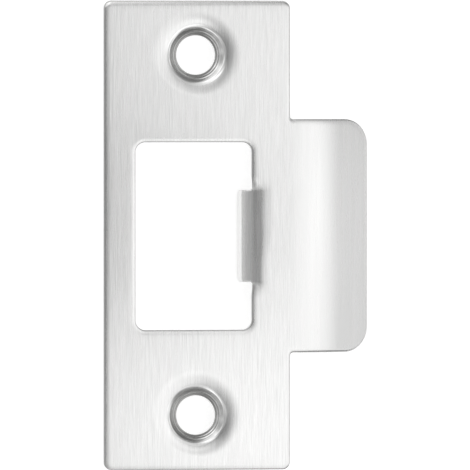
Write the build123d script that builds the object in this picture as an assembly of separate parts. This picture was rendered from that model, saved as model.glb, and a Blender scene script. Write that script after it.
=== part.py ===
"""Latch strike plate, pressed from one piece of stainless steel sheet.

Frame: the plate lies on its back. Origin at the middle of the plate's back
face, midway between the two screw holes. +Z comes out of the front face,
+Y runs along the plate's length, +X points to the curved lip.
All dimensions are in millimetres.
"""
import os
from math import cos, radians, sin, sqrt

from build123d import *

# ------------------------------------------------------------ sheet and plate
SHEET = 1.5                # thickness of the sheet
PLATE_LENGTH = 70.0        # along Y
PLATE_WIDTH = 28.0         # along X
PLATE_CORNER_R = 1.15      # plan radius of the four plate corners
EDGE_ROLL = 0.42           # rounding that the die leaves on the front's outer edges
EDGE_ROLL_INNER = 0.28     # the same on the edges of the opening

# ------------------------------------------------------------ screw holes
HOLE_SPACING = 53.75       # between the two holes, along Y
HOLE_R = 2.9               # radius of the clear hole
DIMPLE_DISC_R = 6.9        # the sheet is drawn down within this radius
# front profile of the pressed countersink: (radius, height above the back face)
DIMPLE_EDGE_Z = -0.15      # where the 45 degree seat meets the hole
DIMPLE_SEAT_TOP = (4.07, 1.02)
DIMPLE_SHOULDER = [(4.20, 1.122), (4.45, 1.234), (4.95, 1.357), (5.50, 1.435), (6.10, 1.483)]
DIMPLE_FLAT = (6.70, 1.50)
# back profile of the boss that the countersink raises behind the plate
BOSS_Z = -1.20             # end face of the boss
BOSS_R = 3.85              # outer radius of that end face
BOSS_SHOULDER = [(4.35, -0.86), (4.95, -0.42), (5.60, -0.12)]
BOSS_FLAT = (6.50, 0.0)

# ------------------------------------------------------------ latch opening
OPEN_X0, OPEN_X1 = -9.29, 8.29   # left and right edges
OPEN_HALF_Y = 14.0               # half of its height
OPEN_CORNER_R = 1.5

# ------------------------------------------------------------ tongue
TONGUE_HALF_Y = 6.9        # half of its width
TONGUE_BEND_X = 10.14      # the bend starts here and turns back and down
# arcs of the front surface in turn: radius, and lean in degrees where it ends
TONGUE_BENDS = [(4.26, 49.0), (0.4, 72.0)]
TONGUE_ANGLE = TONGUE_BENDS[-1][1]
TONGUE_STRAIGHT = 1.5      # flat length after the last bend
TONGUE_CORNER_R = 0.9      # corners of its tip
TONGUE_ROLL = 0.14         # rounding of its front edges
TONGUE_ROOT_R = 0.35       # inside corners where its sides leave the opening's edge
DRAW_Y = 1.9               # the plate beside the tongue is drawn down over this length

# ------------------------------------------------------------ lip
LIP_HALF_Y = 17.4          # half of its height
LIP_BEND_X = 15.2          # the bend starts here
LIP_BEND_R = 18.0          # radius of the front surface in the bend
LIP_ANGLE = 21.5           # how far it is bent back, degrees
LIP_STRAIGHT = 4.89        # flat length after the bend
LIP_CORNER_R = 3.83        # corners of its free edge
LIP_ROOT_R = 0.35          # inside corners where it leaves the plate


def xz(points_or_edges, half_y, y_mid=0.0):
    """A prism along Y with the given closed outline in X and Z."""
    face = Face(Wire(points_or_edges))
    face = Pos(0, y_mid - half_y, 0) * face
    return extrude(face, amount=2 * half_y, dir=(0, 1, 0))


def p3(x, z, y=0.0):
    return (x, y, z)


def bend_outline(x_in, x_bend, bends, straight, side):
    """Edges of a bent strip of the sheet's thickness, seen along Y.

    side is +1 when the strip runs towards +X and -1 towards -X. The strip
    starts flat at x_in, bends down from x_bend on through the arcs of bends,
    given by the front's radius and final lean, and ends in a straight run.
    """
    t = SHEET
    x, z, lean = x_bend, t, 0.0
    front, back = [], []
    last = None
    for radius, end in bends:
        end = radians(end)
        cx, cz = x - side * radius * sin(lean), z - radius * cos(lean)

        def at(r, theta, cx=cx, cz=cz):
            return (cx + side * r * sin(theta), cz + r * cos(theta))

        front.append([at(radius, q) for q in (lean, (lean + end) / 2, end)])
        x, z = at(radius, end)
        if radius > t:
            last = (at, radius - t, lean, end)
            back.append([at(radius - t, q) for q in (lean, (lean + end) / 2, end)])
        lean = end
    tip = (x + side * straight * cos(lean), z - straight * sin(lean))
    tip_back = (tip[0] - side * t * sin(lean), tip[1] - t * cos(lean))
    if bends[-1][0] <= t:
        # the back can't follow a crease: its last arc stops on the last flat
        at, r, lo, hi = last
        first = lo

        def off(theta):
            q = at(r, theta)
            return (q[0] - tip_back[0]) * side * sin(lean) + (q[1] - tip_back[1]) * cos(lean)

        for _ in range(60):
            mid = (lo + hi) / 2
            if off(mid) < 0:
                lo = mid
            else:
                hi = mid
        back[-1] = [at(r, q) for q in (first, (first + lo) / 2, lo)]
    edges = [Line(p3(x_in, t), p3(*front[0][0]))]
    edges += [ThreePointArc(*[p3(*q) for q in arc]) for arc in front]
    edges += [Line(p3(*front[-1][2]), p3(*tip)), Line(p3(*tip), p3(*tip_back))]
    edges += [Line(p3(*tip_back), p3(*back[-1][2]))]
    edges += [ThreePointArc(*[p3(*q) for q in reversed(arc)]) for arc in reversed(back)]
    edges += [Line(p3(*back[0][0]), p3(x_in, 0)), Line(p3(x_in, 0), p3(x_in, t))]
    return edges


# centre of the tongue's main arc, and its front's drop below the flat plate
TONGUE_R = TONGUE_BENDS[0][0]
TONGUE_ARC_X, TONGUE_ARC_Z = TONGUE_BEND_X, SHEET - TONGUE_R


def tongue_drop(x):
    return TONGUE_R - sqrt(TONGUE_R**2 - (TONGUE_BEND_X - x) ** 2)


def dimple():
    """The drawn ring round one screw hole, on the Z axis."""
    seat_foot = (HOLE_R, DIMPLE_EDGE_Z)
    front = Spline(
        p3(*DIMPLE_SEAT_TOP),
        *[p3(*q) for q in DIMPLE_SHOULDER],
        p3(*DIMPLE_FLAT),
        tangents=[(1, 0, 1), (1, 0, 0)],
    )
    back = Spline(
        p3(*BOSS_FLAT),
        *[p3(*q) for q in reversed(BOSS_SHOULDER)],
        p3(BOSS_R, BOSS_Z),
        tangents=[(-1, 0, 0), (-1, 0, -0.75)],
    )
    ring = [
        Line(p3(*seat_foot), p3(*DIMPLE_SEAT_TOP)),
        front,
        Line(p3(*DIMPLE_FLAT), p3(DIMPLE_DISC_R, SHEET)),
        Line(p3(DIMPLE_DISC_R, SHEET), p3(DIMPLE_DISC_R, 0)),
        Line(p3(DIMPLE_DISC_R, 0), p3(*BOSS_FLAT)),
        back,
        Line(p3(BOSS_R, BOSS_Z), p3(HOLE_R, BOSS_Z)),
        Line(p3(HOLE_R, BOSS_Z), p3(*seat_foot)),
    ]
    return revolve(Face(Wire(ring)), Axis.Z, 360)


def drawn_corner(sign):
    """The plate's edge beside the tongue, drawn down to meet the bend.

    sign is +1 above the tongue and -1 below it. Sections run from the
    tongue's side, where the front follows the bend, to the flat plate.
    """
    x0, x1, r = OPEN_X1, TONGUE_BEND_X, EDGE_ROLL_INNER
    xs = [x1 + (x0 + r - x1) * i / 6 for i in range(7)]
    xs_low = [x0 + (x1 - x0) * i / 6 for i in range(7)]
    drop = tongue_drop

    wires = []
    for i in range(7):
        s = i / 6
        w = 1 - s * s * (3 - 2 * s)
        y = sign * (TONGUE_HALF_Y + DRAW_Y * s)
        top = [p3(x, SHEET - w * drop(x), y) for x in xs]
        low = [p3(x, -w * drop(x), y) for x in xs_low]
        z_end = SHEET - w * drop(x0 + r)
        k = r * (1 - sqrt(0.5))
        wires.append(
            Wire(
                [
                    Spline(*top),
                    ThreePointArc(
                        top[-1],
                        p3(x0 + k, z_end - k, y),
                        p3(x0, z_end - r, y),
                    ),
                    Line(p3(x0, z_end - r, y), low[0]),
                    Spline(*low),
                    Line(low[-1], top[0]),
                ]
            )
        )
    return Solid.make_loft(wires, False)


def on_front(edge):
    """Does the edge lie on the front surface of the plate or the lip?"""

    def height(x):
        if x <= LIP_BEND_X:
            return SHEET
        end = LIP_BEND_X + LIP_BEND_R * sin(radians(LIP_ANGLE))
        if x <= end:
            return SHEET - LIP_BEND_R + sqrt(LIP_BEND_R**2 - (x - LIP_BEND_X) ** 2)
        z_end = SHEET - LIP_BEND_R * (1 - cos(radians(LIP_ANGLE)))
        return z_end - (x - end) * sin(radians(LIP_ANGLE)) / cos(radians(LIP_ANGLE))

    for u in (0.02, 0.35, 0.5, 0.65, 0.98):
        q = edge @ u
        if abs(q.Z - height(q.X)) > 2e-3:
            return False
    return True


# ------------------------------------------------------------ the flat plate
plate = extrude(
    RectangleRounded(PLATE_WIDTH, PLATE_LENGTH, PLATE_CORNER_R), amount=SHEET
)

# the lip, one strip with the plate
lip = xz(
    bend_outline(12.0, LIP_BEND_X, [(LIP_BEND_R, LIP_ANGLE)], LIP_STRAIGHT, +1),
    LIP_HALF_Y,
)
tip_edges = [e for e in lip.edges() if abs(e.length - SHEET) < 1e-3 and e.center().X > 20]
lip = fillet(tip_edges, LIP_CORNER_R)
body = plate + lip

# inside corners between plate and lip
root = [
    e
    for e in body.edges().filter_by(Axis.Z)
    if abs(e.center().X - PLATE_WIDTH / 2) < 1e-3
    and abs(abs(e.center().Y) - LIP_HALF_Y) < 1e-3
]
body = fillet(root, LIP_ROOT_R)

# the whole front outline of plate and lip, rounded where the die pressed it
outline = [
    e
    for e in body.edges()
    if on_front(e)
    and not (abs(e.tangent_at(0.5).Y) > 0.999 and 14.2 < e.center().X < 25)
]
body = fillet(outline, EDGE_ROLL)

# ------------------------------------------------------------ latch opening
opening = extrude(
    Pos((OPEN_X0 + OPEN_X1) / 2, 0, -1)
    * RectangleRounded(OPEN_X1 - OPEN_X0, 2 * OPEN_HALF_Y, OPEN_CORNER_R),
    amount=SHEET + 2,
)
body = body - opening
rim = [
    e
    for e in body.edges()
    if abs((e @ 0).Z - SHEET) < 1e-3
    and abs((e @ 0.5).Z - SHEET) < 1e-3
    and OPEN_X0 - 0.01 < (e @ 0.5).X < OPEN_X1 + 0.01
    and abs((e @ 0.5).Y) < OPEN_HALF_Y + 0.01
]
body = fillet(rim, EDGE_ROLL_INNER)

# ------------------------------------------------------------ tongue
notch = Pos((OPEN_X1 - 1 + TONGUE_BEND_X) / 2, 0, SHEET / 2) * Box(
    TONGUE_BEND_X - OPEN_X1 + 1, 2 * (TONGUE_HALF_Y + DRAW_Y), SHEET + 2
)
body = body - notch

strip = xz(
    bend_outline(TONGUE_BEND_X + 0.4, TONGUE_BEND_X, TONGUE_BENDS, TONGUE_STRAIGHT, -1),
    TONGUE_HALF_Y,
)
tip_edges = [
    e
    for e in strip.edges()
    if abs(e.length - SHEET) < 1e-3 and e.center().Z < -1.5
]
strip = fillet(tip_edges, TONGUE_CORNER_R)
# only the free part of its front edges is rounded
inner = Pos(OPEN_X1 + 5, 0, 0) * Box(10, 30, 20)
rooted, free = strip & inner, strip - inner
a_t, a_c = radians(TONGUE_ANGLE), radians(TONGUE_BENDS[0][1])
r_c = TONGUE_BENDS[1][0]
crease = (
    TONGUE_ARC_X - (TONGUE_R - r_c) * sin(a_c),
    TONGUE_ARC_Z + (TONGUE_R - r_c) * cos(a_c),
)
f1 = (crease[0] - r_c * sin(a_t), crease[1] + r_c * cos(a_t))
front_edges = []
for e in free.edges():
    pts = [e @ u for u in (0.03, 0.5, 0.97)]
    keep = True
    for q in pts:
        in_arc = (
            abs(sqrt((q.X - TONGUE_ARC_X) ** 2 + (q.Z - TONGUE_ARC_Z) ** 2) - TONGUE_R) < 2e-3
            or abs(sqrt((q.X - crease[0]) ** 2 + (q.Z - crease[1]) ** 2) - r_c) < 2e-3
        )
        off = (q.X - f1[0]) * -sin(a_t) + (q.Z - f1[1]) * cos(a_t)
        if not in_arc and abs(off) > 2e-3:
            keep = False
    along_y = abs(e.tangent_at(0.5).Y) > 0.999
    at_tip = min(q.Z for q in pts) < -1.2
    if keep and (not along_y or at_tip):
        front_edges.append(e)
free = fillet(front_edges, TONGUE_ROLL)
body = body + rooted + free + drawn_corner(+1) + drawn_corner(-1)

# inside corners at the tongue's root: the bent strip, a little wider, kept
# only between the opening's edge, the tongue's side and a round corner
wide_strip = xz(
    bend_outline(TONGUE_BEND_X + 0.4, TONGUE_BEND_X, TONGUE_BENDS, TONGUE_STRAIGHT, -1),
    TONGUE_HALF_Y + TONGUE_ROOT_R,
)
for sign in (-1, 1):
    r = TONGUE_ROOT_R
    z_mid, z_half = 0.385, 0.815
    block = Pos(OPEN_X1 - r / 2 + 0.05, sign * (TONGUE_HALF_Y + r / 2 - 0.05), z_mid) * Box(
        r + 0.1, r + 0.1, 2 * z_half
    )
    scoop = Pos(OPEN_X1 - r, sign * (TONGUE_HALF_Y + r), z_mid) * Cylinder(
        r, 2 * z_half + 1
    )
    body = body + ((block - scoop) & wide_strip)

# ------------------------------------------------------------ screw holes
ring = dimple()
for sign in (-1, 1):
    spot = Pos(0, sign * HOLE_SPACING / 2, 0)
    body = body - spot * Pos(0, 0, SHEET / 2) * Cylinder(DIMPLE_DISC_R, SHEET + 2)
    body = body + spot * ring

strike_plate = body
os.makedirs("parts", exist_ok=True)
export_step(strike_plate, "parts/strike_plate.step")
print(
    "solids", len(strike_plate.solids()),
    "volume", round(strike_plate.volume, 2),
    "valid", strike_plate.is_valid,
    "outline edges", len(outline), "rim edges", len(rim), "tongue edges", len(front_edges),
)
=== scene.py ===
"""Latch strike plate in brushed stainless steel: visual mesh, finishes, studio.

The pressed plate is rebuilt as one closed mesh over the same developed blank
that the sheet is bent from: a point of the blank (s, y) and a height h above
the back face give a point in space, flat on the plate and rolled round in the
lip and the tongue. Lengths are in millimetres until the mesh is written.
"""
from math import atan2, cos, degrees, hypot, pi, radians, sin, sqrt, tan

import bpy
import numpy as np
from mathutils import Matrix, Vector
from mathutils.geometry import delaunay_2d_cdt


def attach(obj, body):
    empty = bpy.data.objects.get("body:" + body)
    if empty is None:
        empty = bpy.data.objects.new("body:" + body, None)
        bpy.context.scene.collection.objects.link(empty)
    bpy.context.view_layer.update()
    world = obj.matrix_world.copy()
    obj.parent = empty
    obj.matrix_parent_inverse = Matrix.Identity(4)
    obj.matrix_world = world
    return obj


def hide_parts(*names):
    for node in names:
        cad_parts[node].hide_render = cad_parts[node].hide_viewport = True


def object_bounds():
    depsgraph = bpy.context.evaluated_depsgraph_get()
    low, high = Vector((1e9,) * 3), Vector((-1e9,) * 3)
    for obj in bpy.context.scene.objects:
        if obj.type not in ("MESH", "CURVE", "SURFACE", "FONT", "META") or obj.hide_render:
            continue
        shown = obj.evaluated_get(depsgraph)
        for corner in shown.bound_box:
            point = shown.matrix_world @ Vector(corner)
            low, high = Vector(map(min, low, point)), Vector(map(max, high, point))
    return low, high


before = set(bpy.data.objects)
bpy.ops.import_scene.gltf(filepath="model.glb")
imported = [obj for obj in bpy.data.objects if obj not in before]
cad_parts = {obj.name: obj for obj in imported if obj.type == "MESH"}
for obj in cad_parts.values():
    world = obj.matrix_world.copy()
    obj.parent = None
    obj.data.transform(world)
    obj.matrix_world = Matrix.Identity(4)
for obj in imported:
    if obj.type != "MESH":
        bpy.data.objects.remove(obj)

CAD_BOX = [[float(c) for c in v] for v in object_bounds()]

# ------------------------------------------------------------------ the sheet
SHEET = 1.5
HALF_W, HALF_L, CORNER_R = 14.0, 35.0, 1.15
HOLE_Y, HOLE_R = 26.875, 2.9
OPEN_X0, OPEN_X1, OPEN_HALF_Y, OPEN_R = -9.29, 8.29, 14.0, 1.5
# one stroke of the press makes opening, tongue and lip, a hair low on the plate
PRESS_Y = -0.13
TONGUE_HALF_Y, TONGUE_CORNER, TONGUE_ROOT, DRAW_Y = 6.87, 0.9, 0.35, 2.4
# the tongue's bend: from the flat plate it leans over gently up to TONGUE_X, given
# as (distance from TONGUE_X, lean in degrees), less far on the tongue's lower half,
# and then come arcs given as (radius of the front, lean where the arc ends)
TONGUE_X = 8.95
TONGUE_LEAD = [(2.65, 0), (2.15, 1.9), (1.7, 3.6), (1.25, 6), (0.95, 9), (0.75, 12), (0.5, 13.5), (0, 14.5)]
LEAD_LESS = 0.25
TONGUE_BENDS = [(4.1, 49.0), (0.2, 72.0)]
TONGUE_STRAIGHT = 1.60
LIP_HALF_Y, LIP_X, LIP_R, LIP_TURN = 17.42, 14.3, 21.2, radians(20.3)
LIP_TIP, LIP_CORNER, LIP_ROOT = 26.68, 3.80, 0.50

# rounding that pressing leaves on the front edges, (width, depth), for edges
# that face +X, +Y, -X and -Y
ROLL_PLATE = [(0.50, 0.17), (0.80, 0.72), (0.95, 0.14), (0.70, 0.17)]
ROLL_LIP = [(0.75, 0.24), (0.90, 0.24), (0.90, 0.15), (0.50, 0.30)]
ROLL_OPENING = [(0.70, 0.16), (0.85, 0.19), (1.05, 0.16), (0.75, 0.19)]
ROLL_TONGUE = (0.30, 0.10)


def tongue_tables(extent):
    """The front of the bent tongue by distance from TONGUE_X: place and lean.

    The lean used for the thickness is evened out, because the back of the
    sheet can't follow the sharp crease."""
    ds = 0.01
    before = round(3.0 / ds)
    reach = np.array([-d * extent for d, _ in TONGUE_LEAD])
    leans = np.radians([lean for _, lean in TONGUE_LEAD])
    lean = list(np.interp(ds * (np.arange(before) - before), reach, leans))
    a = float(leans[-1])
    start = len(lean)
    for radius, end in TONGUE_BENDS:
        while a < radians(end):
            lean.append(a)
            a += ds / radius
        a = radians(end)
    lean += [a] * round(TONGUE_STRAIGHT / ds)
    length = ds * (len(lean) - start)
    lean += [a] * 300
    lean = np.array(lean)
    x = -np.concatenate([[0], np.cumsum(np.cos(lean[:-1])) * ds])
    z = -np.concatenate([[0], np.cumsum(np.sin(lean[:-1])) * ds])
    half = 90
    padded = np.concatenate([np.zeros(half), lean, np.full(half, lean[-1])])
    even = np.convolve(padded, np.ones(2 * half + 1) / (2 * half + 1), "valid")
    return ds * (np.arange(len(lean)) - before), x + 3.0, z, even, length


TONGUE_SETS = [tongue_tables(1 - LEAD_LESS * k / 8) for k in range(9)]
TONGUE_TIP = TONGUE_X - TONGUE_SETS[0][4]
LEAD_END = TONGUE_X + TONGUE_LEAD[0][0]


def tongue_point(a, y):
    """Place and lean of the tongue's front, a from TONGUE_X, at one height y."""
    u = min(max((0.1 - (y - PRESS_Y) / TONGUE_HALF_Y) / 0.7, 0.0), 1.0)
    u = 8 * u * u * (3 - 2 * u)
    k = min(int(u), 7)
    u -= k
    out = []
    for which in (1, 2, 3):
        p = np.interp(a, TONGUE_SETS[k][0], TONGUE_SETS[k][which])
        q = np.interp(a, TONGUE_SETS[k + 1][0], TONGUE_SETS[k + 1][which])
        out.append(float(p + (q - p) * u))
    return out


def tongue_share(y):
    """1 on the tongue, easing to 0 where the plate beside it is flat again."""
    u = (abs(y - PRESS_Y) - TONGUE_HALF_Y) / DRAW_Y
    if u <= 0:
        return 1.0
    if u >= 1:
        return 0.0
    return (1 - u) ** 2


def in_space(s, y, h):
    """The point of the pressed plate for a place on the blank and a height."""
    if s > LIP_X:
        r = LIP_R - SHEET + h
        turn = min((s - LIP_X) / LIP_R, LIP_TURN)
        run = max(s - LIP_X - LIP_R * LIP_TURN, 0.0)
        return (
            LIP_X + r * sin(turn) + run * cos(turn),
            y,
            SHEET - LIP_R + r * cos(turn) - run * sin(turn),
        )
    share = tongue_share(y) if -2 < s < LEAD_END else 0.0
    if share > 0:
        fx, fz, lean = tongue_point(TONGUE_X - s, y)
        x = TONGUE_X + fx + (SHEET - h) * sin(lean)
        z = SHEET + fz - (SHEET - h) * cos(lean)
        return (s + share * (x - s), y, h + share * (z - h))
    return (s, y, h)


# ------------------------------------------------------------------ outlines
def straight(a, b, step):
    n = max(1, round(hypot(b[0] - a[0], b[1] - a[1]) / step))
    return [
        (a[0] + (b[0] - a[0]) * i / n, a[1] + (b[1] - a[1]) * i / n) for i in range(n)
    ]


def round_corner(cx, cy, r, a0, a1, turn_step=5.0):
    n = max(4, round(abs(a1 - a0) / turn_step))
    return [
        (
            cx + r * cos(radians(a0 + (a1 - a0) * i / n)),
            cy + r * sin(radians(a0 + (a1 - a0) * i / n)),
        )
        for i in range(n)
    ]


def outer_outline():
    """Anticlockwise round the blank, metal on the left of the way."""
    w, l, r = HALF_W, HALF_L, CORNER_R
    q, lr = LIP_ROOT, LIP_CORNER
    low, high = PRESS_Y - LIP_HALF_Y, PRESS_Y + LIP_HALF_Y
    pts = straight((-w + r, -l), (w - r, -l), 0.8)
    pts += round_corner(w - r, -l + r, r, -90, 0)
    pts += straight((w, -l + r), (w, low - q), 0.8)
    pts += round_corner(w + q, low - q, q, 180, 90, 10)
    pts += straight((w + q, low), (LIP_TIP - lr, low), 0.3)
    pts += round_corner(LIP_TIP - lr, low + lr, lr, -90, 0, 3)
    pts += straight((LIP_TIP, low + lr), (LIP_TIP, high - lr), 0.8)
    pts += round_corner(LIP_TIP - lr, high - lr, lr, 0, 90, 3)
    pts += straight((LIP_TIP - lr, high), (w + q, high), 0.3)
    pts += round_corner(w + q, high + q, q, 270, 180, 10)
    pts += straight((w, high + q), (w, l - r), 0.8)
    pts += round_corner(w - r, l - r, r, 0, 90)
    pts += straight((w - r, l), (-w + r, l), 0.8)
    pts += round_corner(-w + r, l - r, r, 90, 180)
    pts += straight((-w, l - r), (-w, -l + r), 0.8)
    pts += round_corner(-w + r, -l + r, r, 180, 270)
    return pts


def opening_outline():
    """Clockwise round the opening and the tongue, metal on the left of the way."""
    x0, x1, h, r = OPEN_X0, OPEN_X1, OPEN_HALF_Y, OPEN_R
    q, ty, tc, tip = TONGUE_ROOT, TONGUE_HALF_Y, TONGUE_CORNER, TONGUE_TIP
    draw = ty + DRAW_Y + 0.1
    # beside the tongue the blank is a little shorter, because the bend uses some of it
    root = tongue_share(PRESS_Y + ty + q)

    def shorter(points):
        return [(s - 0.05 * min(tongue_share(PRESS_Y + y), root), y) for s, y in points]

    xr = x1 - 0.05 * root
    pts = straight((x0 + r, h), (x1 - r, h), 0.8)
    pts += round_corner(x1 - r, h - r, r, 90, 0)
    pts += straight((x1, h - r), (x1, draw), 0.6)
    pts += shorter(straight((x1, draw), (x1, ty + q), 0.12))
    pts += round_corner(xr - q, ty + q, q, 0, -90, 10)
    pts += straight((xr - q, ty), (tip + tc, ty), 0.15)
    pts += round_corner(tip + tc, ty - tc, tc, 90, 180)
    pts += straight((tip, ty - tc), (tip, -ty + tc), 0.6)
    pts += round_corner(tip + tc, -ty + tc, tc, 180, 270)
    pts += straight((tip + tc, -ty), (xr - q, -ty), 0.15)
    pts += round_corner(xr - q, -ty - q, q, 90, 0, 10)
    pts += shorter(straight((x1, -ty - q), (x1, -draw), 0.12))
    pts += straight((x1, -draw), (x1, -h + r), 0.6)
    pts += round_corner(x1 - r, -h + r, r, 0, -90)
    pts += straight((x1 - r, -h), (x0 + r, -h), 0.8)
    pts += round_corner(x0 + r, -h + r, r, -90, -180)
    pts += straight((x0, -h + r), (x0, h - r), 0.8)
    pts += round_corner(x0 + r, h - r, r, 180, 90)
    return [(s, y + PRESS_Y) for s, y in pts]


def inward_normals(pts):
    """Unit normals into the metal, on the left of the way."""
    p = np.array(pts)
    before, after = p - np.roll(p, 1, 0), np.roll(p, -1, 0) - p
    # weighting by the other leg's length gives the true normal on arcs
    lb = np.linalg.norm(before, axis=1)[:, None]
    la = np.linalg.norm(after, axis=1)[:, None]
    t = before / lb + after / la
    t /= np.linalg.norm(t, axis=1)[:, None]
    return np.stack([-t[:, 1], t[:, 0]], 1)


def by_direction(table, nx, ny):
    """Interpolates a table for +X, +Y, -X, -Y by the way an edge faces."""
    a = degrees(atan2(ny, nx)) % 360 / 90
    i = int(a) % 4
    u = a - int(a)
    u = u * u * (3 - 2 * u)
    p, q = table[i], table[(i + 1) % 4]
    return p[0] + (q[0] - p[0]) * u, p[1] + (q[1] - p[1]) * u


def ease(u):
    u = min(max(u, 0.0), 1.0)
    return u * u * (3 - 2 * u)


def roll_at(kind, s, y, n):
    """Width and depth of the rounding at one place of an outline."""
    if kind == "outer":
        # the edge faces away from the metal
        plate = by_direction(ROLL_PLATE, -n[0], -n[1])
        lip = by_direction(ROLL_LIP, -n[0], -n[1])
        u = ease((s - HALF_W + 0.3) / 1.2) if abs(y - PRESS_Y) < LIP_HALF_Y + 1.5 else 0.0
        return plate[0] + (lip[0] - plate[0]) * u, plate[1] + (lip[1] - plate[1]) * u
    opening = by_direction(ROLL_OPENING, -n[0], -n[1])
    u = ease((TONGUE_HALF_Y + 1.1 - abs(y - PRESS_Y)) / 0.9) if s > 0 else 0.0
    return (
        opening[0] + (ROLL_TONGUE[0] - opening[0]) * u,
        opening[1] + (ROLL_TONGUE[1] - opening[1]) * u,
    )


# ------------------------------------------------------------------ the mesh
# finishes by band: the sheared finish is the cut edge's own, and where it covers the steep start of a rounding its
# dark colour also paints shade along the outline; the rim finish is the smoother burnished one, and its brighter
# colour paints highlight lines
FACE, SHEAR_AND_SHADE, SEAT, BACK, BURNISH_AND_HIGHLIGHT = 0, 1, 2, 3, 4
verts, faces, kinds, maps = [], [], [], []


def add(p):
    verts.append(p)
    return len(verts) - 1


def add_face(corners, kind, uv):
    faces.append(corners)
    kinds.append(kind)
    maps.extend(uv)


def blank_uv(s, y):
    return ((s + 20.0) / 100.0, (y + 40.0) / 100.0)


def strip(ring_a, ring_b, kind, uv_a, uv_b, closing_a=None, closing_b=None):
    """Quads between two closed rings. uv_a and uv_b hold one pair per point, and
    kind is one finish or one per quad."""
    n = len(ring_a)
    for i in range(n):
        j = (i + 1) % n
        ua_j = uv_a[j] if j or closing_a is None else closing_a
        ub_j = uv_b[j] if j or closing_b is None else closing_b
        add_face(
            (ring_a[i], ring_a[j], ring_b[j], ring_b[i]),
            kind[i] if isinstance(kind, list) else kind,
            (uv_a[i], ua_j, ub_j, uv_b[i]),
        )


ROLL_STEPS = [0, 4, 8, 13, 18, 24, 31, 39, 48, 58, 68, 79, 90]


def wander(length, seed, scale):
    """A smooth closed random line of the given number of samples, about +-1."""
    r = np.random.default_rng(seed)
    u = np.arange(length) / length * 2 * pi
    out = np.zeros(length)
    for k in range(1, scale):
        out += r.normal() * np.cos(k * u + r.uniform(0, 2 * pi)) / sqrt(scale)
    return out


def build_rim(kind, pts, seed):
    """The rounded front edge, the sheared wall and the back's edge of one outline.
    Returns the innermost front and back rings and their places on the blank."""
    normals = inward_normals(pts)
    rolls = [roll_at(kind, p[0], p[1], n) for p, n in zip(pts, normals)]
    along = np.concatenate(
        [[0], np.cumsum([hypot(b[0] - a[0], b[1] - a[1]) for a, b in zip(pts, pts[1:] + pts[:1])])]
    )
    line = wander(len(pts), seed, 60) * 0.06
    line2 = wander(len(pts), seed + 1, 110) * 0.02

    def ring(dist, height):
        out, places = [], []
        for p, n, r, k in zip(pts, normals, rolls, range(len(pts))):
            d, h = dist(r, k), height(r, k)
            s, y = p[0] + n[0] * d, p[1] + n[1] * d
            out.append(add(in_space(s, y, h)))
            places.append((s, y))
        return out, places

    # front: a quarter of an ellipse from the wall up to the face
    rings = []
    for a in ROLL_STEPS:
        c, q = cos(radians(a)), sin(radians(a))
        rings.append(
            ring(lambda r, k: r[0] * (1 - c), lambda r, k: SHEET - r[1] + r[1] * q)
        )
    # brushing doesn't reach the steep start of the rounding, which keeps the shear's finish, and the darker colour
    # of that finish there also paints shade along the outline. Along the plate's top edge only, this dark band
    # runs on to 39 degrees and a smoother band follows, whose brighter colour paints a highlight line
    top_edge_painted_lines = [-n[1] > 0.75 and abs(p[1]) > HALF_L - 2 for p, n in zip(pts, normals)]
    for (a, pa), (b, pb), upto in zip(rings, rings[1:], ROLL_STEPS[1:]):
        shear_and_shade_band = SHEAR_AND_SHADE if upto <= 31 else FACE
        top_edge_shade_and_highlight_band = SHEAR_AND_SHADE if upto <= 39 else BURNISH_AND_HIGHLIGHT if upto <= 58 else FACE
        kinds_here = [top_edge_shade_and_highlight_band if end else shear_and_shade_band for end in top_edge_painted_lines]
        strip(a, b, kinds_here, [blank_uv(*p) for p in pa], [blank_uv(*p) for p in pb])
    front, front_places = rings[-1]
    # wall: smooth sheared band, then the rougher broken band, a hair further in
    top = rings[0][0]
    levels = [
        (0.000, lambda r, k: (SHEET - r[1]) * 0.80),
        (0.000, lambda r, k: (SHEET - r[1]) * 0.62 + line[k]),
        (0.014, lambda r, k: (SHEET - r[1]) * 0.54 + line[k]),
        (0.034, lambda r, k: (SHEET - r[1]) * 0.34 + line[k] * 0.5),
        (0.046, lambda r, k: 0.14),
        (0.056, lambda r, k: 0.055),
        (0.078, lambda r, k: 0.014),
        (0.115, lambda r, k: 0.0),
    ]
    wall = [top]
    heights = [[SHEET - r[1] for r in rolls]]
    back_places = None
    for d, h in levels:
        rough = 0.012 if 0.02 < d < 0.05 else 0.0
        out, places = ring(lambda r, k: d + rough * line2[k] * 8, h)
        wall.append(out)
        heights.append([h(r, k) for k, r in enumerate(rolls)])
        back_places = places

    def wall_uv(level):
        # shear marks run through the thickness, so the map's first axis is the way round
        return [
            ((along[k] + 3.0) / 260.0, 0.9 + heights[level][k] / 100.0)
            for k in range(len(pts))
        ]

    for k in range(len(wall) - 1):
        ua, ub = wall_uv(k), wall_uv(k + 1)
        end = (along[-1] + 3.0) / 260.0
        # rings run with the metal on the left, so walls go the other way round
        n = len(pts)
        for i in range(n):
            j = (i + 1) % n
            uaj = (end, ua[0][1]) if j == 0 else ua[j]
            ubj = (end, ub[0][1]) if j == 0 else ub[j]
            add_face(
                (wall[k][j], wall[k][i], wall[k + 1][i], wall[k + 1][j]),
                SHEAR_AND_SHADE,
                (uaj, ua[i], ub[i], ubj),
            )
    # back: from the wall's foot to the same line on the blank as the front's
    low = wall[-1]
    back = []
    for p, n, r in zip(pts, normals, rolls):
        s, y = p[0] + n[0] * r[0], p[1] + n[1] * r[0]
        back.append(add(in_space(s, y, 0.0)))
    strip(
        back,
        low,
        BACK,
        [blank_uv(*p) for p in front_places],
        [blank_uv(*p) for p in back_places],
    )
    return front, back, front_places


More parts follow.
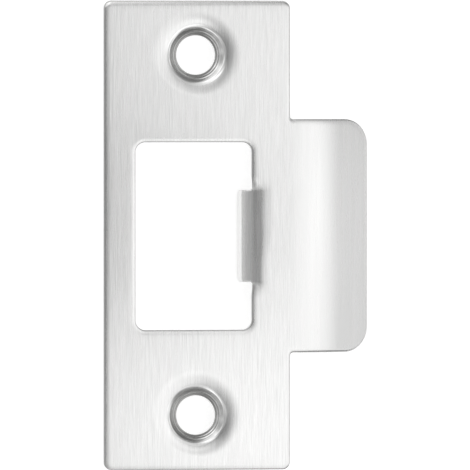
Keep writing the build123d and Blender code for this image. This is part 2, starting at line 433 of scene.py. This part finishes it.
# ------------------------------------------------------------------ dimples
def cubic(points, slope0, slope1):
    """Clamped cubic spline z(r) through the points, as a function."""
    x = np.array([p[0] for p in points], float)
    z = np.array([p[1] for p in points], float)
    n = len(x)
    h = np.diff(x)
    a = np.zeros((n, n))
    b = np.zeros(n)
    a[0, 0], b[0] = 1, slope0
    a[-1, -1], b[-1] = 1, slope1
    for i in range(1, n - 1):
        a[i, i - 1], a[i, i], a[i, i + 1] = 1 / h[i - 1], 2 / h[i - 1] + 2 / h[i], 1 / h[i]
        b[i] = 3 * ((z[i] - z[i - 1]) / h[i - 1] ** 2 + (z[i + 1] - z[i]) / h[i] ** 2)
    m = np.linalg.solve(a, b)

    def at(r):
        i = int(min(max(np.searchsorted(x, r) - 1, 0), n - 2))
        u = (r - x[i]) / h[i]
        return float(
            (2 * u**3 - 3 * u**2 + 1) * z[i]
            + (u**3 - 2 * u**2 + u) * h[i] * m[i]
            + (-2 * u**3 + 3 * u**2) * z[i + 1]
            + (u**3 - u**2) * h[i] * m[i + 1]
        )

    return at


DISC_R = 6.9
SEAT_TOP, SEAT_DROP = 4.07, 3.128     # the 45 degree seat: height = radius - SEAT_DROP
front_shoulder = cubic(
    [
        (4.07, 0.942), (4.10, 0.971), (4.175, 1.027), (4.29, 1.093), (4.44, 1.162), (4.63, 1.229),
        (4.82, 1.281), (5.04, 1.331), (5.31, 1.382), (5.66, 1.432), (6.04, 1.4705), (6.41, 1.4925),
        (6.80, 1.50),
    ],
    1.0,
    0.0,
)
back_shoulder = cubic(
    [(3.85, -1.20), (4.35, -0.86), (4.95, -0.42), (5.60, -0.12), (6.50, 0.0)], 0.75, 0.0
)
AROUND = 144

# profile from the outer circle on the front, over the seat, to the back:
# (radius, height, finish of the band that follows)
profile = [(DISC_R, SHEET, FACE), (6.80, SHEET, FACE)]
for r in np.arange(6.65, 4.72, -0.15):
    profile.append((float(r), front_shoulder(float(r)), FACE))
# the press tool leaves the steepest part of the shoulder smooth, and the brighter colour given to that band paints
# a highlight on it
for r in np.arange(4.68, 4.30, -0.05):
    profile.append((float(r), front_shoulder(float(r)), BURNISH_AND_HIGHLIGHT if r < 4.62 else FACE))
for r in (4.30, 4.26, 4.22, 4.18, 4.14):
    profile.append((r, front_shoulder(r), BURNISH_AND_HIGHLIGHT))
profile += [(4.105, front_shoulder(4.105), SEAT), (SEAT_TOP, SEAT_TOP - SEAT_DROP, SEAT)]
# the seat steepens a little at its foot, and the hole widens a little below
FOOT_R, FOOT_END = 0.6, radians(60)
foot_r = HOLE_R + FOOT_R * (sin(FOOT_END) - sin(radians(45)))
foot_top = foot_r - SEAT_DROP
foot_z = foot_top - FOOT_R * (cos(radians(45)) - cos(FOOT_END))


def turned(r):
    """Height of the shallow rings that the countersink's cutter leaves."""
    fade = ease((SEAT_TOP - r) / 0.08) * ease((r - foot_r) / 0.08)
    return fade * (0.0038 * sin(2 * pi * r / 0.43 + 0.6) + 0.0026 * sin(2 * pi * r / 0.27 + 2.0))


for r in np.arange(4.03, foot_r + 0.02, -0.04):
    profile.append((float(r), float(r) - SEAT_DROP + turned(float(r)), SEAT))
for a in (45, 48, 51, 54, 57, 60):
    t = radians(a)
    profile.append((
        HOLE_R + FOOT_R * (sin(FOOT_END) - sin(t)),
        foot_z + FOOT_R * (cos(t) - cos(FOOT_END)),
        SEAT,
    ))
profile += [(2.89, foot_z - 0.03, SEAT), (2.892, -0.60, SEAT), (2.93, -0.78, SHEAR_AND_SHADE)]
profile += [(2.98, -0.98, SHEAR_AND_SHADE), (3.03, -1.14, SHEAR_AND_SHADE), (3.05, -1.18, SHEAR_AND_SHADE), (3.09, -1.20, BACK)]
profile += [(3.4, -1.20, BACK), (3.72, -1.20, BACK), (3.80, -1.192, BACK), (3.86, -1.178, BACK)]
for r in np.arange(3.98, 6.5, 0.14):
    profile.append((float(r), back_shoulder(float(r)), BACK))
profile += [(6.5, 0.0, BACK), (DISC_R, 0.0, BACK)]


def shoulder_height(r, z, a):
    """The drawn shoulder is shorter on the side towards the plate's lower left."""
    away = abs((degrees(a) - 245.0 + 180.0) % 360.0 - 180.0)
    squeeze = 1.0 + 0.35 * ease(1 - away / 75.0)
    if r <= 4.45:
        return z
    return front_shoulder(min(4.45 + (r - 4.45) * squeeze, 6.80))


def build_dimple(cy):
    """The drawn ring round a screw hole. Returns its outer circles and their places."""
    angles = [2 * pi * i / AROUND for i in range(AROUND)]
    rings = []
    for r, z, kind in profile:
        shaped = kind in (FACE, BURNISH_AND_HIGHLIGHT) and 4.45 < r < 6.80
        rings.append(
            [add((r * cos(a), cy + r * sin(a), shoulder_height(r, z, a) if shaped else z)) for a in angles]
        )
    travelled = 0.0
    for k in range(len(profile) - 1):
        (r0, z0, kind), (r1, z1, _) = profile[k], profile[k + 1]
        step = hypot(r1 - r0, z1 - z0)
        if kind in (FACE, BACK, BURNISH_AND_HIGHLIGHT):
            ua = [blank_uv(r0 * cos(a), cy + r0 * sin(a)) for a in angles]
            ub = [blank_uv(r1 * cos(a), cy + r1 * sin(a)) for a in angles]
            ca = cb = None
        else:
            # turned marks run round the hole, so the map's first axis is across them
            base = 0.02 + (0.45 if cy > 0 else 0.0)
            ua = [(travelled / 100.0 + base, 0.80 + a * 3.5 / 100.0) for a in angles]
            ub = [((travelled + step) / 100.0 + base, 0.80 + a * 3.5 / 100.0) for a in angles]
            ca = (ua[0][0], 0.80 + 2 * pi * 3.5 / 100.0)
            cb = (ub[0][0], 0.80 + 2 * pi * 3.5 / 100.0)
        n = AROUND
        for i in range(n):
            j = (i + 1) % n
            uaj = ua[j] if j or ca is None else ca
            ubj = ub[j] if j or cb is None else cb
            add_face(
                (rings[k][i], rings[k][j], rings[k + 1][j], rings[k + 1][i]),
                kind,
                (ua[i], uaj, ubj, ub[i]),
            )
        travelled += step
    places = [(DISC_R * cos(a), cy + DISC_R * sin(a)) for a in angles]
    return rings[0], rings[-1], places


def inside(poly, pts):
    """Which points lie inside a closed polygon."""
    poly, pts = np.array(poly), np.array(pts)
    x, y = pts[:, 0], pts[:, 1]
    hit = np.zeros(len(pts), bool)
    xa, ya = poly[:, 0], poly[:, 1]
    xb, yb = np.roll(xa, -1), np.roll(ya, -1)
    for a, b, c, d in zip(xa, ya, xb, yb):
        if b == d:
            continue
        crosses = (b > y) != (d > y)
        hit ^= crosses & (x < (c - a) * (y - b) / (d - b) + a)
    return hit


def distance(poly, pts):
    """Distance of each point from a closed polygon's line."""
    poly, pts = np.array(poly), np.array(pts)
    best = np.full(len(pts), 1e9)
    for a, b in zip(poly, np.roll(poly, -1, 0)):
        ab = b - a
        t = np.clip(((pts - a) @ ab) / (ab @ ab), 0, 1)
        best = np.minimum(best, np.linalg.norm(pts - a - t[:, None] * ab, axis=1))
    return best


outer_front, outer_back, outer_places = build_rim("outer", outer_outline(), 11)
open_front, open_back, open_places = build_rim("opening", opening_outline(), 23)
loops = [
    (outer_front, outer_back, outer_places),
    (open_front, open_back, open_places),
    *[build_dimple(cy) for cy in (HOLE_Y, -HOLE_Y)],
]

# a grid over the blank, finer where the sheet is bent
s_lines = np.concatenate(
    [
        np.arange(-13.0, 3.9, 1.0),
        np.arange(4.5, 6.4, 0.16),
        [6.31, 6.36, 6.40, 6.44, 6.48, 6.53],
        np.arange(6.62, 11.8, 0.16),
        np.arange(12.1, 14.2, 0.6),
        np.arange(14.3, 22.2, 0.3),
        np.arange(22.6, 26.5, 0.6),
    ]
)
half = np.concatenate([np.arange(0.3, 6.4, 0.6), np.arange(6.5, 9.7, 0.13), np.arange(10.2, 34.9, 0.9)])
y_lines = np.concatenate([-half[::-1], half])
grid = np.array([(s, y) for s in s_lines for y in y_lines])
keep = inside(outer_places, grid) & ~inside(open_places, grid)
for places in (outer_places, open_places):
    keep &= distance(places, grid) > 0.14
for cy in (HOLE_Y, -HOLE_Y):
    keep &= np.hypot(grid[:, 0], grid[:, 1] - cy) > DISC_R + 0.3
grid = grid[keep]

flat = []          # every point of the triangulation
front_of, back_of = [], []
edges = []
for front, back, places in loops:
    start = len(flat)
    for i in range(len(places)):
        flat.append(places[i])
        front_of.append(front[i])
        back_of.append(back[i])
        edges.append((start + i, start + (i + 1) % len(places)))
for s, y in grid:
    flat.append((float(s), float(y)))
    front_of.append(add(in_space(s, y, SHEET)))
    back_of.append(add(in_space(s, y, 0.0)))

made_pts, _, made_tris, origin, _, _ = delaunay_2d_cdt(
    [Vector(p) for p in flat], edges, [], 0, 1e-7
)
source = [o[0] for o in origin]
centres = np.array(
    [[sum(made_pts[i][c] for i in t) / len(t) for c in (0, 1)] for t in made_tris]
)
good = inside(outer_places, centres) & ~inside(open_places, centres)
for _, _, places in loops[2:]:
    good &= ~inside(places, centres)
for t, ok in zip(made_tris, good):
    if not ok:
        continue
    a, b, c = [source[i] for i in t]
    (ax, ay), (bx, by), (cx, cy) = flat[a], flat[b], flat[c]
    if (bx - ax) * (cy - ay) - (by - ay) * (cx - ax) < 0:
        b, c = c, b
    uv = [blank_uv(*flat[i]) for i in (a, b, c)]
    add_face((front_of[a], front_of[b], front_of[c]), FACE, uv)
    add_face((back_of[a], back_of[c], back_of[b]), BACK, [uv[0], uv[2], uv[1]])

mesh = bpy.data.meshes.new("strike_plate_pressed")
mesh.from_pydata([[c * 0.001 for c in v] for v in verts], [], faces)
mesh.update()
mesh.polygons.foreach_set("material_index", kinds)
layer = mesh.uv_layers.new(name="finish")
layer.uv.foreach_set("vector", np.array(maps, np.float32).ravel())
mesh.shade_smooth()
mesh.validate(verbose=False)
plate = bpy.data.objects.new("strike_plate_pressed", mesh)
bpy.context.scene.collection.objects.link(plate)
mesh.set_sharp_from_angle(angle=radians(50))

# ------------------------------------------------------------------ finishes
def new_material(name):
    m = bpy.data.materials.new(name)
    m.use_nodes = True
    m.node_tree.nodes.clear()
    return m, m.node_tree


def node(tree, kind, **values):
    n = tree.nodes.new(kind)
    for k, v in values.items():
        setattr(n, k, v)
    return n


def math_node(tree, op, a, b=None, c=None):
    n = tree.nodes.new("ShaderNodeMath")
    n.operation = op
    for i, v in enumerate((a, b, c)):
        if v is None:
            continue
        if isinstance(v, (int, float)):
            n.inputs[i].default_value = v
        else:
            tree.links.new(v, n.inputs[i])
    return n.outputs[0]


def streaks(tree, across, along, detail=2.0, seed=0.0):
    """Noise drawn out along the second axis of the finish map, about 0 to 1.
    across and along are the grain's sizes in millimetres."""
    uv = node(tree, "ShaderNodeUVMap", uv_map="finish")
    stretch = node(tree, "ShaderNodeMapping")
    stretch.inputs["Scale"].default_value = (100.0 / across, 100.0 / along, 1.0)
    stretch.inputs["Location"].default_value = (seed, seed * 1.7, seed * 0.3)
    tree.links.new(uv.outputs[0], stretch.inputs["Vector"])
    noise = node(tree, "ShaderNodeTexNoise")
    noise.inputs["Scale"].default_value = 1.0
    noise.inputs["Detail"].default_value = detail
    noise.inputs["Roughness"].default_value = 0.6
    tree.links.new(stretch.outputs[0], noise.inputs["Vector"])
    return noise.outputs["Fac"]


def spread(tree, value, low, high, lo=0.0, hi=1.0):
    n = node(tree, "ShaderNodeMapRange")
    n.clamp = True
    n.inputs["From Min"].default_value = lo
    n.inputs["From Max"].default_value = hi
    n.inputs["To Min"].default_value = low
    n.inputs["To Max"].default_value = high
    tree.links.new(value, n.inputs["Value"])
    return n.outputs["Result"]


def steel(name, colour, rough, rough_swing, anisotropy, fine, coarse, tint_swing, bump, calm=1.0):
    """Brushed or cut stainless steel. fine and coarse are (across, along) grain sizes.
    calm is what is left of the marks on the lip, which the press tool rubbed smoother."""
    m, t = new_material(name)
    out = node(t, "ShaderNodeOutputMaterial")
    b = node(t, "ShaderNodeBsdfPrincipled")
    b.inputs["Metallic"].default_value = 1.0
    b.inputs["Anisotropic"].default_value = anisotropy
    t.links.new(b.outputs[0], out.inputs["Surface"])
    tangent = node(t, "ShaderNodeTangent", direction_type="UV_MAP", uv_map="finish")
    t.links.new(tangent.outputs[0], b.inputs["Tangent"])
    f = streaks(t, *fine, detail=3.0, seed=1.3)
    c = streaks(t, *coarse, detail=2.0, seed=7.9)
    both = math_node(t, "ADD", math_node(t, "MULTIPLY", f, 0.65), math_node(t, "MULTIPLY", c, 0.35))
    if calm < 1:
        place = node(t, "ShaderNodeSeparateXYZ")
        t.links.new(node(t, "ShaderNodeUVMap", uv_map="finish").outputs[0], place.inputs[0])
        left = spread(t, place.outputs["X"], 1.0, calm, (HALF_W + 19.0) / 100, (HALF_W + 22.5) / 100)
        both = math_node(t, "MULTIPLY_ADD", math_node(t, "SUBTRACT", both, 0.5), left, 0.5)
    level = spread(t, both, 1 - tint_swing, 1 + tint_swing, 0.3, 0.7)
    tint = node(t, "ShaderNodeMix", data_type="RGBA", blend_type="MULTIPLY")
    tint.inputs["Factor"].default_value = 1.0
    tint.inputs["A"].default_value = (*colour, 1)
    grey = node(t, "ShaderNodeCombineColor")
    for s in ("Red", "Green", "Blue"):
        t.links.new(level, grey.inputs[s])
    t.links.new(grey.outputs[0], tint.inputs["B"])
    t.links.new(tint.outputs["Result"], b.inputs["Base Color"])
    t.links.new(
        spread(t, c, rough - rough_swing, rough + rough_swing, 0.3, 0.7), b.inputs["Roughness"]
    )
    bm = node(t, "ShaderNodeBump")
    bm.inputs["Strength"].default_value = 1.0
    bm.inputs["Distance"].default_value = bump * 0.001
    t.links.new(both, bm.inputs["Height"])
    t.links.new(bm.outputs[0], b.inputs["Normal"])
    return m


brushed = steel("brushed_stainless_face", (0.78, 0.78, 0.775), 0.27, 0.02, 0.6, (0.16, 4.0), (0.7, 16.0), 0.10, 0.005, 0.12)
# the dark colour of the sheared finish is the cut edge's own on the walls, and on the steep start of the roundings
# it also paints shade along the outline
sheared = steel("stainless_sheared_edge_and_painted_outline_shade", (0.46, 0.46, 0.455), 0.36, 0.05, 0.4, (0.07, 0.9), (0.35, 3.0), 0.07, 0.006)
seat = steel("brushed_stainless_countersink", (0.66, 0.66, 0.655), 0.09, 0.015, 0.3, (0.09, 6.0), (0.3, 20.0), 0.13, 0.004)
rear = steel("brushed_stainless_back", (0.68, 0.68, 0.675), 0.40, 0.03, 0.5, (0.22, 5.0), (1.5, 25.0), 0.05, 0.003)
# the burnished finish is smoother, and its brighter colour paints highlight lines on the plate's top edge and the
# dimples' shoulders
burnished_and_painted_highlight = steel("stainless_burnished_rim_and_painted_highlight", (0.90, 0.90, 0.895), 0.17, 0.02, 0.4, (0.16, 3.0), (0.6, 9.0), 0.05, 0.002)
for m in (brushed, sheared, seat, rear, burnished_and_painted_highlight):
    mesh.materials.append(m)

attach(plate, "root")
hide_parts("strike_plate")

# ------------------------------------------------------------------ studio
scene = bpy.context.scene
scene.view_settings.view_transform = "Standard"
scene.view_settings.look = "None"
scene.view_settings.exposure = 0.0
scene.view_settings.gamma = 1.0

# floor, level with the lowest point of the part
floor_z = CAD_BOX[0][2] - 0.00002
size = 3.0
fm = bpy.data.meshes.new("studio_floor")
fm.from_pydata(
    [(-size, -size, floor_z), (size, -size, floor_z), (size, size, floor_z), (-size, size, floor_z)],
    [],
    [(0, 1, 2, 3)],
)
floor = bpy.data.objects.new("studio_floor", fm)
scene.collection.objects.link(floor)
fmat, ft = new_material("studio_floor_pale")
fout = node(ft, "ShaderNodeOutputMaterial")
fb = node(ft, "ShaderNodeBsdfPrincipled")
fb.inputs["Roughness"].default_value = 0.9
fb.inputs["Specular IOR Level"].default_value = 0.0
fb.inputs["Base Color"].default_value = (0.75, 0.75, 0.75, 1)
fb.inputs["Emission Color"].default_value = (1, 1, 1, 1)
fb.inputs["Emission Strength"].default_value = 0.60
ft.links.new(fb.outputs[0], fout.inputs["Surface"])
fmat.cycles.emission_sampling = "NONE"
fm.materials.append(fmat)

# a round light tent over the part: soft panels, given as
# (way round from +X in degrees, lean from straight up in degrees, width in degrees, strength)
TENT_R = 0.16
PANELS = [
    (76, 12, 8, 0.92), (284, 12, 8, 1.05), (18, 13, 8, 0.49), (342, 13, 8, 0.35),
    (45, 17, 8, 0.15), (315, 17, 8, 0.44), (0, 28, 12, 0.76), (36, 28, 12, 0.60),
    (72, 28, 12, 0.41), (252, 28, 12, 0.22), (288, 28, 12, 0.69), (324, 28, 12, 0.50),
    (0, 43, 12, 0.89), (30, 43, 12, 0.67), (60, 43, 12, 0.30), (90, 43, 12, 0.32),
    (120, 43, 12, 1.13), (180, 43, 12, 0.27), (210, 43, 12, 0.46), (270, 43, 12, 0.27),
    (300, 43, 12, 0.76), (330, 43, 12, 0.80), (51, 58, 12, 0.35), (77, 58, 12, 0.33),
    (103, 58, 12, 0.76), (154, 58, 12, 0.56), (231, 58, 12, 0.57), (257, 58, 12, 0.72),
    (283, 58, 12, 0.36), (334, 58, 12, 0.45), (0, 73, 12, 0.87), (22, 73, 12, 0.74),
    (90, 73, 12, 0.51), (112, 73, 12, 0.98), (135, 73, 12, 1.18), (158, 73, 12, 0.53),
    (180, 73, 12, 0.32), (202, 73, 12, 0.64), (225, 73, 12, 0.75), (248, 73, 12, 0.90),
    (338, 73, 12, 0.68), (100, 87, 12, 0.73), (120, 87, 12, 0.62), (140, 87, 12, 0.55),
    (180, 87, 12, 0.47),
]
BASE_GLOW = 0.19


def aim(way, lean):
    w, l = radians(way), radians(lean)
    return np.array([sin(l) * cos(w), sin(l) * sin(w), cos(l)])


def tent_glow(directions, panels, base):
    glow = np.full(len(directions), float(base))
    for way, lean, width, strength in panels:
        angle = np.degrees(np.arccos(np.clip(directions @ aim(way, lean), -1, 1)))
        glow += strength * np.exp(-((angle / width) ** 2))
    return glow


def build_tent():
    rows, turns = 44, 96
    points, quads = [], []
    for i in range(rows + 1):
        lean = 2.0 + (95.0 - 2.0) * i / rows
        for k in range(turns):
            points.append(aim(360.0 * k / turns, lean))
    for i in range(rows):
        for k in range(turns):
            j = (k + 1) % turns
            quads.append((i * turns + k, i * turns + j, (i + 1) * turns + j, (i + 1) * turns + k))
    quads.append(tuple(range(turns - 1, -1, -1)))
    directions = np.array(points)
    tm = bpy.data.meshes.new("light_tent")
    tm.from_pydata([tuple(p * TENT_R) for p in directions], [], quads)
    glow = tm.attributes.new("glow", "FLOAT_COLOR", "POINT")
    values = tent_glow(directions, PANELS, BASE_GLOW)
    glow.data.foreach_set("color", np.repeat(values, 4).astype(np.float32))
    tent = bpy.data.objects.new("light_tent", tm)
    scene.collection.objects.link(tent)
    m, t = new_material("light_tent_cloth")
    out = node(t, "ShaderNodeOutputMaterial")
    shine = node(t, "ShaderNodeEmission")
    colour = node(t, "ShaderNodeAttribute", attribute_name="glow")
    t.links.new(colour.outputs["Color"], shine.inputs["Color"])
    t.links.new(shine.outputs[0], out.inputs["Surface"])
    tm.materials.append(m)
    # it surrounds the part, so reflected rays find it without aimed samples
    m.cycles.emission_sampling = "NONE"
    tent.visible_camera = False
    return tent


tent = build_tent()

world = bpy.data.worlds.new("studio")
scene.world = world
world.use_nodes = True
wt = world.node_tree
wt.nodes.clear()
wo = node(wt, "ShaderNodeOutputWorld")
bg = node(wt, "ShaderNodeBackground")
bg.inputs["Color"].default_value = (1, 1, 1, 1)
bg.inputs["Strength"].default_value = 1.2
wt.links.new(bg.outputs[0], wo.inputs["Surface"])

# ------------------------------------------------------------------ camera
PHI, TIP = radians(8.5), radians(1.0)      # a little from the left, a little from above
PX_PER_MM, DIST = 6.70, 1500.0
toward = Vector((-sin(PHI) * cos(TIP), sin(TIP), cos(PHI) * cos(TIP)))
right = Vector((cos(PHI), 0, sin(PHI)))
up = toward.cross(right)
centre = right * 5.836 + up * 0.015
cam = bpy.data.cameras.new("camera")
cam.sensor_width = 36.0
cam.lens = PX_PER_MM * DIST / 470 * 36.0
cam.clip_start, cam.clip_end = 0.05, 50
camera = bpy.data.objects.new("camera", cam)
scene.collection.objects.link(camera)
camera.location = (centre + toward * DIST) * 0.001
camera.rotation_mode = "QUATERNION"
camera.rotation_quaternion = Matrix((right, up, toward)).transposed().to_quaternion()
scene.camera = camera

bpy.context.view_layer.update()
